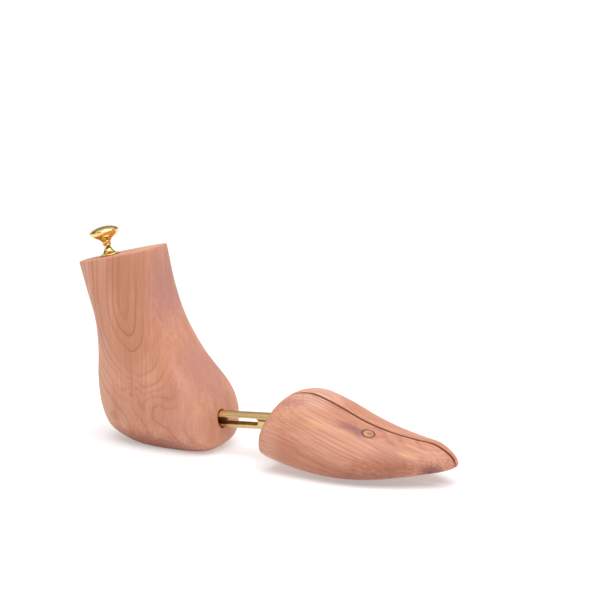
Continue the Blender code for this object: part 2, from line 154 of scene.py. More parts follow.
def loft(rings):
    """A closed skin over rings of equal count, capped at both ends."""
    bm = bmesh.new()
    rows = [[bm.verts.new([c * MM for c in point]) for point in ring] for ring in rings]
    for lower, upper in zip(rows, rows[1:]):
        for i in range(len(lower)):
            j = (i + 1) % len(lower)
            bm.faces.new((lower[i], lower[j], upper[j], upper[i]))
    bm.faces.new(rows[0])
    bm.faces.new(rows[-1])
    return bm


def curve_through(rows, count):
    """The rows resampled along a smooth curve that passes through each of them."""
    table = np.array(rows, float)
    slopes = np.gradient(table, axis=0)
    at = np.linspace(0, len(table) - 1, count)
    left = np.minimum(at.astype(int), len(table) - 2)
    t = (at - left)[:, None]
    a, b = table[left], table[left + 1]
    return (
        a * (2 * t**3 - 3 * t**2 + 1)
        + slopes[left] * (t**3 - 2 * t**2 + t)
        + b * (3 * t**2 - 2 * t**3)
        + slopes[left + 1] * (t**3 - t**2)
    )


def oval_reach(angle, across, up, squareness):
    """How far a squared oval lies from its middle at the angle."""
    c = np.abs(np.cos(angle)) / across
    s = np.abs(np.sin(angle)) / up
    return (c**squareness + s**squareness) ** (-1 / squareness)


def round_cutter(start, end, radius, sides=BORE_SIDES):
    """A cylinder between two points, for carve."""
    start, end = Vector(start) * MM, Vector(end) * MM
    along = end - start
    bm = bmesh.new()
    bmesh.ops.create_cone(
        bm, cap_ends=True, segments=sides, radius1=radius * MM, radius2=radius * MM, depth=along.length
    )
    turn = along.to_track_quat("Z", "Y").to_matrix().to_4x4()
    bmesh.ops.transform(bm, matrix=Matrix.Translation((start + end) / 2) @ turn, verts=bm.verts)
    return mesh_object("cutter", bm)


def carve(obj, cutters, smooth_angle=35):
    """Cuts the shapes out of obj and removes them."""
    for cutter in cutters:
        boolean = obj.modifiers.new("cut", "BOOLEAN")
        boolean.object = cutter
    bpy.context.view_layer.update()
    evaluated = obj.evaluated_get(bpy.context.evaluated_depsgraph_get())
    mesh = bpy.data.meshes.new_from_object(evaluated)
    obj.modifiers.clear()
    obj.data = mesh
    for cutter in cutters:
        bpy.data.objects.remove(cutter)
    mesh.shade_smooth()
    mesh.set_sharp_from_angle(angle=math.radians(smooth_angle))
    return obj


def on_axis(distance):
    """A point on the tube's axis, this far in front of the heel's cross pin."""
    return AXIS_POINT + Vector((math.cos(AXIS_RISE), 0, math.sin(AXIS_RISE))) * distance


def place(obj, body, node, material):
    """Gives the piece its material, its body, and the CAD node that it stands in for."""
    obj.data.materials.clear()
    obj.data.materials.append(material)
    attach(obj, body)
    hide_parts(node)
    return obj


# ---------------------------------------------------------------- materials

class Nodes:
    """The node tree of a material or a world, with short calls for the nodes that it uses."""

    def __init__(self, owner, shader="Principled BSDF"):
        self.owner = owner
        owner.use_nodes = True
        self.tree = owner.node_tree
        self.shader = self.tree.nodes[shader]

    def add(self, kind, settings=None, inputs=None):
        node = self.tree.nodes.new(kind)
        for key, value in (settings or {}).items():
            setattr(node, key, value)
        for key, value in (inputs or {}).items():
            self.set(node, key, value)
        return node

    def set(self, node, key, value):
        socket = node.inputs[key]
        if isinstance(value, bpy.types.NodeSocket):
            self.tree.links.new(value, socket)
        else:
            socket.default_value = value

    def math(self, operation, *values):
        node = self.add("ShaderNodeMath", {"operation": operation})
        for i, value in enumerate(values):
            self.set(node, i, value)
        return node.outputs[0]

    def vector(self, operation, *values):
        node = self.add("ShaderNodeVectorMath", {"operation": operation})
        for i, value in enumerate(values):
            self.set(node, i, value)
        return node.outputs["Value" if operation == "LENGTH" else "Vector"]

    def noise(self, vector, scale, detail=2.0, roughness=0.5, output="Fac"):
        node = self.add(
            "ShaderNodeTexNoise", None,
            {"Vector": vector, "Scale": scale, "Detail": detail, "Roughness": roughness},
        )
        return node.outputs[output]

    def wobble(self, vector, scale, detail=2.0):
        """Noise as a vector round zero."""
        return self.vector("SUBTRACT", self.noise(vector, scale, detail, output="Color"), (0.5, 0.5, 0.5))

    def spread(self, value, low, high, to_low=0.0, to_high=1.0, smooth=True):
        """The value carried from one range to another, with no overshoot."""
        node = self.add(
            "ShaderNodeMapRange", {"interpolation_type": "SMOOTHSTEP" if smooth else "LINEAR"},
            {"Value": value, "From Min": low, "From Max": high, "To Min": to_low, "To Max": to_high},
        )
        return node.outputs["Result"]

    def mix(self, factor, a, b):
        """From colour a to colour b; the mix node's colour sockets are 6 and 7, and their result is 2."""
        node = self.add("ShaderNodeMix", {"data_type": "RGBA"})
        self.set(node, 0, factor)
        for index, value in ((6, a), (7, b)):
            self.set(node, index, value if isinstance(value, bpy.types.NodeSocket) else (*value, 1.0))
        return node.outputs[2]

    def ramp(self, value, stops):
        """A level between 0 and 1 that runs straight from stop to stop; a stop is (value, level)."""
        node = self.add("ShaderNodeValToRGB", None, {"Fac": value})
        ramp = node.color_ramp
        while len(ramp.elements) < len(stops):
            ramp.elements.new(0.5)
        for element, (position, level) in zip(ramp.elements, stops):
            element.position = position
            element.color = (level, level, level, 1.0)
        return node.outputs["Color"]

    def finish(self, **inputs):
        """Sets the shader's inputs, named with _ for a space."""
        for key, value in inputs.items():
            self.set(self.shader, key.replace("_", " "), value)
        return self.owner


def material_nodes(name):
    return Nodes(bpy.data.materials.new(name))


def srgb(red, green, blue):
    """Linear colour from 8-bit sRGB levels."""
    return tuple(
        level / 12.92 if level <= 0.04045 else ((level + 0.055) / 1.055) ** 2.4
        for level in (red / 255, green / 255, blue / 255)
    )


CEDAR_PALE = srgb(236, 186, 162)
CEDAR_LIGHT = srgb(221, 160, 132)
CEDAR_WARM = srgb(208, 142, 109)
CEDAR_LATE = srgb(150, 88, 68)
CEDAR_FIBRE = srgb(138, 82, 68)
CEDAR_MAUVE = srgb(188, 130, 120)
CEDAR_HONEY = srgb(228, 174, 120)
CEDAR_PURPLE = srgb(140, 88, 90)
CEDAR_KNOT = srgb(84, 44, 46)
CEDAR_AMBER = srgb(196, 130, 98)
# painted shade for the split between the forepart's halves
SPLIT_SHADE_BROWN = srgb(150, 84, 70)
# painted shade for the gap round a plug
PLUG_GAP_SHADE = srgb(72, 54, 44)
DULL_BRASS = (0.66, 0.47, 0.20)

# scales of the noises, in cells per metre
SWAY_SCALE = 16
TREMBLE_SCALE = 80
SPACING_SCALE = 90
KNOT_SCALE = 130
PATCH_SCALE = 24
FIBRE_SCALE = 1500
STRAND_SCALE = 700
BAND_SCALE = 90
WIDE_SCALE = 32
SMUDGE_SCALE = 120
BRUSH_SCALE = 2500

# one growth ring from its start to its end: pale early wood, then a dark line of late wood
RING_PROFILE = [(0.0, 0.5), (0.07, 0.0), (0.45, 0.03), (0.75, 0.26), (0.93, 1.0), (1.0, 0.55)]


def offset_from(n, position, point):
    return n.vector("SUBTRACT", position, tuple(c * MM for c in point))


def drawn_out(n, vector, share):
    """The vector with its length along the grain cut to a share, which draws a noise out along it."""
    return n.vector("MULTIPLY", vector, (1, 1, share))


def cedar(
    name, pith, along, ring, dive=None, follow=True, calm=None, warp=4.0, seed=0.0,
    contrast=1.0, streaks=0.2, patches=0.5, knots=(), zones=(), plug_gap_shade=None, sawn=False,
):
    """Sanded cedar as a solid texture: growth rings round a pith line, bent by noise and by knots.

    Lengths are in mm. pith is a point on the pith line, along its direction, ring the ring spacing.
    dive is (axis, from, to, shift): the pith swings aside by shift between two places on that axis,
    and the fibres go with it if follow is set.
    calm is (lean, start, end): the rings fade between these values of x + lean * z.
    A knot is (point, axis mask, reach, push, core radius), a zone is (centre, radii, amount, colour).
    The plug ring, (x, y, inner radius, outer radius), is painted shade: a dark ring round an upright plug,
    where shade falls in the gap round it.
    sawn darkens the flat face at y = 0 and the edges beside it: painted shade, for the shade in the split
    between the halves.
    """
    n = material_nodes(name)
    position = n.add("ShaderNodeTexCoord").outputs["Object"]
    axes = n.add("ShaderNodeSeparateXYZ", None, {0: position})
    grown = position
    if dive:
        axis, start, end, shift = dive
        share = n.spread(axes.outputs[axis], start * MM, end * MM)
        grown = n.vector("SUBTRACT", position, n.vector("MULTIPLY", share, tuple(c * MM for c in shift)))
    turn = Vector(along).to_track_quat("Z", "X").to_euler()
    local, straight = (
        n.add(
            "ShaderNodeMapping", {"vector_type": "TEXTURE"},
            {"Vector": source, "Location": Vector(pith) * MM, "Rotation": turn},
        ).outputs["Vector"]
        for source in (grown, grown if follow else position)
    )

    # the grain wanders, more gently along its length than across it
    stretched = n.vector("ADD", drawn_out(n, local, 0.3), (seed, seed * 0.7, seed * 1.3))
    slow = n.vector("MULTIPLY", n.wobble(stretched, SWAY_SCALE, 1.5), (warp * 4 * MM,) * 3)
    quick = n.vector("MULTIPLY", n.wobble(stretched, TREMBLE_SCALE), (warp * 0.5 * MM,) * 3)
    sway = n.vector("ADD", slow, quick)
    bent = n.vector("ADD", local, sway)
    grain = n.vector("ADD", straight, sway)
    radius = n.vector("LENGTH", drawn_out(n, bent, 0))
    uneven = n.noise(n.vector("ADD", radius, (seed, 0, 0)), SPACING_SCALE, 1.0)
    rings = n.math("ADD", n.math("DIVIDE", radius, ring * MM), n.math("MULTIPLY", uneven, 1.4))

    knot_core = 0.0
    for point, mask, reach, push, core in knots:
        ragged = n.vector("MULTIPLY", n.wobble(position, KNOT_SCALE), (reach * 0.4 * MM,) * 3)
        gap = n.vector("ADD", offset_from(n, position, point), ragged)
        away = n.vector("LENGTH", n.vector("MULTIPLY", gap, mask))
        rings = n.math("ADD", rings, n.spread(away, reach * MM, 0, 0, push / ring))
        if core:
            knot_core = n.math("MAXIMUM", knot_core, n.spread(away, core * MM, core * 0.35 * MM))

    # each ring darkens towards its late wood and ends sharply; the rings differ in strength
    phase = n.math("FRACT", rings)
    line = n.ramp(phase, RING_PROFILE)
    year = n.math("FLOOR", rings)
    wild = n.add("ShaderNodeTexWhiteNoise", {"noise_dimensions": "1D"}, {"W": year}).outputs["Value"]
    strength = n.spread(wild, 0, 1, 0.25, 1.0, smooth=False)
    patchy = n.spread(n.noise(stretched, PATCH_SCALE), 0.35, 0.65, 0.5, 1.0)
    line = n.math("MULTIPLY", n.math("MULTIPLY", line, strength), patchy)
    if calm:
        lean, start, end = calm
        forward = n.math("ADD", axes.outputs["X"], n.math("MULTIPLY", axes.outputs["Z"], lean))
        line = n.math("MULTIPLY", line, n.spread(forward, start * MM, end * MM, 1.0, 0.25))

    # streaks along the grain, from single fibres to wide bands of another tone
    fibre = n.noise(drawn_out(n, grain, 0.028), FIBRE_SCALE, 2.5, 0.6)
    strand = n.noise(drawn_out(n, grain, 0.02), STRAND_SCALE, 3.0, 0.6)
    band = n.noise(drawn_out(n, grain, 0.1), BAND_SCALE)
    wide = n.noise(n.vector("ADD", drawn_out(n, grain, 0.18), (3.1, 1.7, 0.4)), WIDE_SCALE)

    colour = n.mix(n.spread(band, 0.33, 0.68), CEDAR_LIGHT, CEDAR_WARM)
    colour = n.mix(n.spread(wide, 0.53, 0.75, 0, patches), colour, CEDAR_HONEY)
    colour = n.mix(n.spread(wide, 0.45, 0.25, 0, patches), colour, CEDAR_MAUVE)
    for point, radii, amount, tint in zones:
        gap = offset_from(n, position, point)
        away = n.vector("LENGTH", n.vector("DIVIDE", gap, tuple(r * MM for r in radii)))
        edge = n.math("ADD", away, n.math("MULTIPLY", n.math("SUBTRACT", strand, 0.5), 0.6))
        colour = n.mix(n.spread(edge, 1.0, 0.3, 0, amount), colour, tint)
    colour = n.mix(n.math("MULTIPLY", line, 0.6 * contrast), colour, CEDAR_LATE)
    colour = n.mix(n.spread(fibre, 0.25, 0.75, streaks, 0.0), colour, CEDAR_FIBRE)
    colour = n.mix(n.spread(strand, 0.3, 0.7, streaks, 0.0), colour, CEDAR_LATE)
    if knots:
        colour = n.mix(n.math("MULTIPLY", knot_core, 0.75), colour, CEDAR_KNOT)
    # painted shade: a dark ring round the upright plug, where shade falls in the gap between plug and wood
    if plug_gap_shade:
        x, y, inner, outer = plug_gap_shade
        away = n.vector("LENGTH", drawn_out(n, offset_from(n, position, (x, y, 0)), 0))
        within = n.spread(away, (outer + 0.5) * MM, outer * MM)
        gap_shade_ring = n.math("MULTIPLY", n.spread(away, (inner - 0.5) * MM, inner * MM), within)
        colour = n.mix(n.math("MULTIPLY", gap_shade_ring, 0.8), colour, PLUG_GAP_SHADE)
    # painted shade: the flat face in the split between the halves, and the edges beside it, darkened where
    # shade falls in the gap
    if sawn:
        beside = n.math("ABSOLUTE", axes.outputs["Y"])
        face = n.spread(beside, (SPLIT / 2 + 0.15) * MM, SPLIT / 2 * MM, 0, 0.7)
        colour = n.mix(face, colour, SPLIT_SHADE_BROWN)

    height = n.math("ADD", n.math("MULTIPLY", fibre, 0.5), n.math("MULTIPLY", line, -0.35))
    bump = n.add("ShaderNodeBump", None, {"Strength": 0.16, "Distance": 0.00025, "Height": height})
    roughness = n.math("ADD", n.spread(fibre, 0.2, 0.8, 0.42, 0.58), n.math("MULTIPLY", line, 0.08))
    return n.finish(
        Base_Color=colour, Roughness=roughness, Normal=bump.outputs["Normal"], Specular_IOR_Level=0.45
    )


def brass(name, colour, roughness, inner=None):
    """Polished brass with faint smudges. The tube is brushed along its length, and dull within inner mm."""
    n = material_nodes(name)
    position = n.add("ShaderNodeTexCoord").outputs["Object"]
    smudge = n.noise(position, SMUDGE_SCALE, 3.0, 0.6)
    fine = n.noise(n.vector("MULTIPLY", position, (0.06, 1, 1) if inner else (1, 1, 1)), BRUSH_SCALE)
    tint = n.mix(n.spread(smudge, 0.35, 0.75, 0.0, 0.35), colour, tuple(c * 0.82 for c in colour))
    rough = n.math("ADD", n.spread(smudge, 0.3, 0.8, roughness * 0.8, roughness * 1.3),
                   n.math("MULTIPLY", n.math("SUBTRACT", fine, 0.5), 0.05))
    if inner:
        level = n.add("ShaderNodeMapping", {"vector_type": "TEXTURE"}, {
            "Vector": position, "Location": AXIS_POINT * MM, "Rotation": (0, -AXIS_RISE, 0),
        })
        away = n.vector("LENGTH", n.vector("MULTIPLY", level.outputs["Vector"], (0, 1, 1)))
        inside = n.spread(away, (inner + 0.35) * MM, (inner + 0.15) * MM)
        tint = n.mix(inside, tint, DULL_BRASS)
        rough = n.math("ADD", rough, n.math("MULTIPLY", inside, 0.25))
    bump = n.add("ShaderNodeBump", None, {"Strength": 0.05, "Distance": 0.00005, "Height": fine})
    return n.finish(Base_Color=tint, Metallic=1.0, Roughness=rough, Normal=bump.outputs["Normal"])


def steel(name):
    n = material_nodes(name)
    position = n.add("ShaderNodeTexCoord").outputs["Object"]
    fine = n.noise(n.vector("MULTIPLY", position, (1, 0.1, 1)), 1800, 2.0)
    tint = n.mix(n.spread(n.noise(position, 90, 3.0), 0.3, 0.7), (0.56, 0.56, 0.57), (0.42, 0.42, 0.43))
    return n.finish(Base_Color=tint, Metallic=1.0, Roughness=n.spread(fine, 0.3, 0.7, 0.24, 0.42))


def nylon(name):
    n = material_nodes(name)
    position = n.add("ShaderNodeTexCoord").outputs["Object"]
    tint = n.mix(n.noise(position, 200, 2.0), (0.80, 0.77, 0.68), (0.70, 0.67, 0.58))
    grit = n.noise(position, 2600)
    bump = n.add("ShaderNodeBump", None, {"Strength": 0.1, "Distance": 0.00005, "Height": grit})
    return n.finish(Base_Color=tint, Roughness=0.5, Normal=bump.outputs["Normal"])


# ---------------------------------------------------------------- heel block

HEEL_RINGS = 150
HEEL_SIDES = 200
EDGE_STEPS = 5


def knob_place():
    """Foot of the knob's axis on the heel's top, and the axis's direction."""
    low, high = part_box("knob_foot")
    middle = (Vector(low) + Vector(high)) / (2 * MM)
    back_x, back_z, front_x, front_z, _, _ = HEEL_SECTIONS[-1]
    up = Vector((back_z - front_z, 0, front_x - back_x)).normalized()
    back = Vector((back_x, HEEL_MIDDLE_Y, back_z)) + up * EASE
    return middle - up * (middle - back).dot(up), up


def heel_ring(back_x, back_z, front_x, front_z, half_width, squareness):
    """A sloping section of the heel, squarer in front than at the back."""
    half_length = (front_x - back_x) / 2
    slope = (front_z - back_z) / (front_x - back_x)
    angle = np.arange(HEEL_SIDES) * 2 * math.pi / HEEL_SIDES
    power = np.where(np.cos(angle) > 0, squareness, HEEL_BACK_SQUARENESS)
    reach = oval_reach(angle, half_length, half_width, power)
    x = reach * np.cos(angle)
    y = HEEL_MIDDLE_Y + reach * np.sin(angle)
    z = (back_z + front_z) / 2 + x * slope
    return np.stack([x + (back_x + front_x) / 2, y, z], axis=-1)


def heel_block():
    """The heel's loft, flat at its seat and eased round its top, with its bore and holes."""
    rings = [heel_ring(*row) for row in curve_through(HEEL_SECTIONS, HEEL_RINGS)]
    back_x, back_z, front_x, front_z, half_width, squareness = HEEL_SECTIONS[-1]
    slope = (front_z - back_z) / (front_x - back_x)
    _, up = knob_place()
    for step in range(1, EDGE_STEPS + 1):
        angle = math.radians(90 * step / EDGE_STEPS)
        e = EASE * (1 - math.cos(angle))
        inner = (back_x + e, back_z + e * slope, front_x - e, front_z - e * slope, half_width - e)
        rings.append(heel_ring(*inner, squareness) + np.array(up) * EASE * math.sin(angle))
    for ring in rings:
        ring[:, 2] = np.maximum(ring[:, 2], 0)
    rings = [ring for ring in rings if np.ptp(ring[:, 2]) > 0 or ring[0, 2] > 0]
    block = mesh_object("heel_block_cedar", loft(rings))
    x, z = AXIS_POINT.x, AXIS_POINT.z
    foot, up = knob_place()
    return carve(block, [
        round_cutter(on_axis(BORE_BOTTOM), on_axis(BEYOND), BORE_RADIUS),
        round_cutter((x, HEEL_PIN_LATERAL, z), (x, BEYOND, z), PIN_HOLE_RADIUS, PIN_SIDES),
        round_cutter((x, HEEL_PIN_MEDIAL, z), (x, BEYOND, z), PLUG_RADIUS, PLUG_SIDES),
        round_cutter(foot - up * KNOB_HOLE_DEPTH, foot + up * BEYOND, PIN_HOLE_RADIUS, PIN_SIDES),
    ])


# ---------------------------------------------------------------- forepart

FORE_RINGS = 150
OVAL_POINTS = 900
OUTER_POINTS = 120
FLAT_POINTS = 14
FILLET_POINTS = 5
EASE_SHARE = 0.2  # of a short section's length or height, at most
TIP_CAP = ((0.25, 0.9), (0.45, 0.7), (0.55, 0.4))  # forward from the last section, and its share


def along_line(points, count):
    """count points spaced evenly along a polyline."""
    length = np.concatenate([[0], np.cumsum(np.linalg.norm(np.diff(points, axis=0), axis=1))])
    at = np.linspace(0, length[-1], count)
    return np.stack([np.interp(at, length, points[:, k]) for k in range(points.shape[1])], axis=-1)


def rounded_corner(before, corner, after):
    """Points on the curve that rounds the corner, without its two ends."""
    t = np.linspace(0, 1, FILLET_POINTS + 2)[1:-1, None]
    return before * (1 - t) ** 2 + corner * 2 * t * (1 - t) + after * t**2


def height_at(saw, a, b):
    """Height at which the line from a to b meets the saw cut."""
    return a[1] + (b[1] - a[1]) * (saw - a[0]) / (b[0] - a[0])


def half_section(side, x, lateral, medial, bottom, ridge, wide, ridge_y):
    """One half's section across the foot, with its two sawn edges eased."""
    angle = np.arange(OVAL_POINTS) * 2 * math.pi / OVAL_POINTS * side
    across = np.where(np.cos(angle) > 0, medial - ridge_y, lateral + ridge_y)
    above = np.sin(angle) > 0
    power = np.where(above, FORE_TOP_SQUARENESS, FORE_SOLE_SQUARENESS)
    reach = oval_reach(angle, across, np.where(above, ridge - wide, wide - bottom), power)
    oval = np.stack([ridge_y + reach * np.cos(angle), np.maximum(wide + reach * np.sin(angle), 0)], axis=-1)
    oval = np.roll(oval, -int(np.argmin(side * oval[:, 0])), axis=0)
    saw = side * SPLIT / 2
    kept = np.flatnonzero(side * (oval[:, 0] - saw) > 0)
    start, end = kept[0], kept[-1]
    ends = [
        np.array([saw, height_at(saw, oval[start - 1], oval[start])]),
        np.array([saw, height_at(saw, oval[end], oval[(end + 1) % len(oval)])]),
    ]
    outer = np.vstack([ends[0], oval[kept], ends[1]])
    if ends[0][1] < ends[1][1]:
        outer = outer[::-1]
    top, base = outer[0], outer[-1]
    length = np.concatenate([[0], np.cumsum(np.linalg.norm(np.diff(outer, axis=0), axis=1))])
    ease = min(EASE, EASE_SHARE * length[-1], EASE_SHARE * (top[1] - base[1]))
    inner = (length > ease) & (length < length[-1] - ease)
    first = np.array([np.interp(ease, length, outer[:, k]) for k in (0, 1)])
    last = np.array([np.interp(length[-1] - ease, length, outer[:, k]) for k in (0, 1)])
    curve = along_line(np.vstack([[first], outer[inner], [last]]), OUTER_POINTS)
    low = base + np.array([0, ease])
    high = top - np.array([0, ease])
    flat = along_line(np.array([low, high]), FLAT_POINTS)
    ring = np.vstack([curve, rounded_corner(last, base, low), flat, rounded_corner(high, top, first)])
    return np.column_stack([np.full(len(ring), x), ring])


def forepart_half(side, name):
    """The medial half for side 1 and the lateral half for side -1, with what is bored into them."""
    rows = curve_through(FORE_SECTIONS, FORE_RINGS)
    rings = [half_section(side, *row) for row in rows]
    tip, heart = rings[-1], rings[-1].mean(axis=0)
    for forward, size in TIP_CAP:
        rings.append(heart + (tip - heart) * size + np.array([forward, 0, 0]))
    half = mesh_object(name, loft(rings))
    pin = on_axis(TUBE_PIN_AT)
    rod_x, rod_z = GUIDE_ROD
    rod_radius, rod_lateral, rod_medial = ROD_HOLE
    radius, depth = SPREAD_POCKET
    cutters = [
        round_cutter((x, 0, z), (x, side * depth, z), radius, POCKET_SIDES) for x, z in SPREAD_SPRINGS
    ]
    rear, front = on_axis(BEHIND_FOREPART), on_axis(TUBE_FRONT + FIT)
    if side > 0:
        cutters += [
            round_cutter(rear, front, TUBE_RADIUS + MEDIAL_FIT),
            round_cutter((pin.x, 0, pin.z), (pin.x, BEYOND, pin.z), PIN_HOLE_RADIUS, PIN_SIDES),
            round_cutter((pin.x, TUBE_PIN_MEDIAL, pin.z), (pin.x, BEYOND, pin.z), PLUG_RADIUS, PLUG_SIDES),
            round_cutter((rod_x, 0, rod_z), (rod_x, rod_medial, rod_z), rod_radius, POCKET_SIDES),
        ]
    else:
        aside = Vector((0, SQUEEZE, 0))
        x, y = STOP_PIN
        pin_radius, pin_bottom = STOP_PIN_HOLE
        cutters += [
            round_cutter(rear - aside, front - aside, TUBE_RADIUS + FIT),
            round_cutter((pin.x, TUBE_PIN_LATERAL, pin.z), (pin.x, 0, pin.z), PIN_HOLE_RADIUS, PIN_SIDES),
            round_cutter((rod_x, rod_lateral, rod_z), (rod_x, 0, rod_z), rod_radius, POCKET_SIDES),
            round_cutter((x, y, pin_bottom), (x, y, BEYOND), pin_radius, PIN_SIDES),
            round_cutter((x, y, STOP_PLUG_BOTTOM), (x, y, BEYOND), STOP_PLUG_RADIUS, PLUG_SIDES),
        ]
    return carve(half, cutters)


# ---------------------------------------------------------------- turned brass and the tube

KNOB_STEPS = 144
TUBE_STEPS = 128
SLOT_END_POINTS = 25
TUBE_EDGE = 0.2
SLOT_EDGE = 0.12
PAST_TUBE = 10.0  # from the tube's axis, this far is outside the tube


def turned(name, profile, steps, matrix, smooth_angle=40):
    """A closed or axis-to-axis profile of (radius, height) turned about the local Z axis."""
    bm = bmesh.new()
    rows = []
    for radius, height in profile:
        if radius < 1e-6:
            rows.append([bm.verts.new((0, 0, height * MM))])
            continue
        angles = [2 * math.pi * i / steps for i in range(steps)]
        rows.append([
            bm.verts.new(Vector((radius * math.cos(a), radius * math.sin(a), height)) * MM) for a in angles
        ])
    closed = len(rows[0]) > 1
    pairs = list(zip(rows, rows[1:])) + ([(rows[-1], rows[0])] if closed else [])
    for lower, upper in pairs:
        for i in range(steps):
            j = (i + 1) % steps
            if len(lower) == 1:
                bm.faces.new((lower[0], upper[j], upper[i]))
            elif len(upper) == 1:
                bm.faces.new((lower[i], lower[j], upper[0]))
            else:
                bm.faces.new((lower[i], lower[j], upper[j], upper[i]))
    bmesh.ops.transform(bm, matrix=matrix, verts=bm.verts)
    return mesh_object(name, bm, smooth_angle)


def smooth_profile(points, steps=8):
    """A rounder profile through the points."""
    table = curve_through(points, (len(points) - 1) * steps + 1)
    return [(max(radius, 0.0), height) for radius, height in table]


def axis_matrix():
    """Turns a piece's local Z axis onto the tube's axis."""
    turn = Matrix.Rotation(math.radians(90) - AXIS_RISE, 4, "Y")
    return Matrix.Translation(AXIS_POINT * MM) @ turn


def knob_head(matrix):
    bore = [(0.0, 13.5), (2.2, 13.5), (2.2, 8.0), (3.1, 8.0)]
    collar = [(3.3, 8.1), (3.4, 8.35), (3.3, 8.6), (3.1, 8.75)]
    under = smooth_profile([
        (3.1, 8.75), (3.35, 9.7), (4.3, 10.9), (6.0, 12.0), (8.0, 13.1), (9.6, 14.4), (10.5, 15.8),
    ])
    rim = smooth_profile([(10.5, 15.8), (10.85, 16.6), (10.9, 17.1), (10.6, 17.7)], 5)[1:]
    dome = smooth_profile([(10.6, 17.7), (9.0, 19.0), (6.3, 20.1), (3.2, 20.8), (0.0, 21.0)])[1:]
    return turned("knob_head_brass", bore + collar + under + rim + dome, KNOB_STEPS, matrix)


def knob_foot(matrix):
    lip = [(2.2, 0.0), (7.8, 0.0), (8.0, 0.12), (8.05, 0.38), (7.9, 0.65)]
    flare = smooth_profile([
        (7.7, 0.8), (6.6, 1.1), (5.7, 1.35), (4.5, 2.0), (3.5, 3.1), (2.85, 4.5), (2.65, 6.0), (2.65, 6.9),
    ])
    collar = [(2.9, 7.1), (3.0, 7.35), (2.9, 7.6), (2.7, 7.7), (2.2, 7.7)]
    return turned("knob_foot_brass", lip + flare + collar, KNOB_STEPS, matrix)


def slot_cutter():
    """The tube's slot: round ends, level with the tube's axis, right through both walls."""
    start, end, height = SLOT
    radius = height / 2
    arc = np.linspace(-math.pi / 2, math.pi / 2, SLOT_END_POINTS)
    outline = [(end - radius + radius * math.cos(a), radius * math.sin(a)) for a in arc]
    outline += [(start + radius - radius * math.cos(a), -radius * math.sin(a)) for a in arc]
    rings = [[(x, y, z) for x, z in outline] for y in (-PAST_TUBE, PAST_TUBE)]
    bm = loft(rings)
    turn = Matrix.Rotation(-AXIS_RISE, 4, "Y")
    bmesh.ops.transform(bm, matrix=Matrix.Translation(AXIS_POINT * MM) @ turn, verts=bm.verts)
    return mesh_object("cutter", bm)


def slider_tube():
    inside = TUBE_RADIUS - TUBE_WALL
    profile = [
        (inside, TUBE_REAR), (TUBE_RADIUS - TUBE_EDGE, TUBE_REAR), (TUBE_RADIUS, TUBE_REAR + TUBE_EDGE),
        (TUBE_RADIUS, TUBE_FRONT - TUBE_EDGE), (TUBE_RADIUS - TUBE_EDGE, TUBE_FRONT), (inside, TUBE_FRONT),
    ]
    tube = turned("slider_tube_brass", profile, TUBE_STEPS, axis_matrix(), 30)
    pin = on_axis(TUBE_PIN_AT)
    across = Vector((0, PAST_TUBE, 0))
    carve(tube, [slot_cutter(), round_cutter(pin - across, pin + across, PIN_HOLE_RADIUS, PIN_SIDES)], 30)
    bevel = tube.modifiers.new("edges", "BEVEL")
    bevel.width = SLOT_EDGE * MM
    bevel.segments = 2
    bevel.limit_method = "ANGLE"
    bevel.angle_limit = math.radians(50)
    bevel.harden_normals = True
    return tube


# ---------------------------------------------------------------- springs

STEPS_A_TURN = 36
WIRE_SIDES = 12
CLOSED_PITCH = 2.3  # wire radii between turns that lie on each other


def coil_spring(name, start, end, side, coil, wire, turns, node, bodies):
    """A compression spring with closed ends from start to end, pressed together between two bodies; the
    bodies argument is not used.
    """
    start, end, side = Vector(start), Vector(end), Vector(side)
    length = (end - start).length
    along = (end - start) / length
    other = along.cross(side)
    steps = STEPS_A_TURN * turns
    closed = 1 / turns
    dead = CLOSED_PITCH * wire
    angles = [2 * math.pi * k / WIRE_SIDES for k in range(WIRE_SIDES)]

    def centre(share):
        """The wire's middle, this share of the way along it, and the way out from the spring's axis."""
        pressed = min(share, closed) + max(share - 1 + closed, 0)
        open_share = min(max((share - closed) / (1 - 2 * closed), 0), 1)
        distance = wire + pressed * turns * dead + open_share * (length - 2 * wire - 2 * dead)
        angle = 2 * math.pi * turns * share
        outward = side * math.cos(angle) + other * math.sin(angle)
        return start + along * distance + outward * coil, outward

    rings = []
    for i in range(steps + 1):
        middle, outward = centre(i / steps)
        ahead, _ = centre(min(i + 1, steps) / steps)
        behind, _ = centre(max(i - 1, 0) / steps)
        across = (ahead - behind).cross(outward).normalized()
        rings.append([middle + (outward * math.cos(a) + across * math.sin(a)) * wire for a in angles])
    spring = mesh_object(name, loft(rings), 50)
    spring.data.materials.append(STEEL)
    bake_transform(spring)
    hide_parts(node)


# ---------------------------------------------------------------- the object

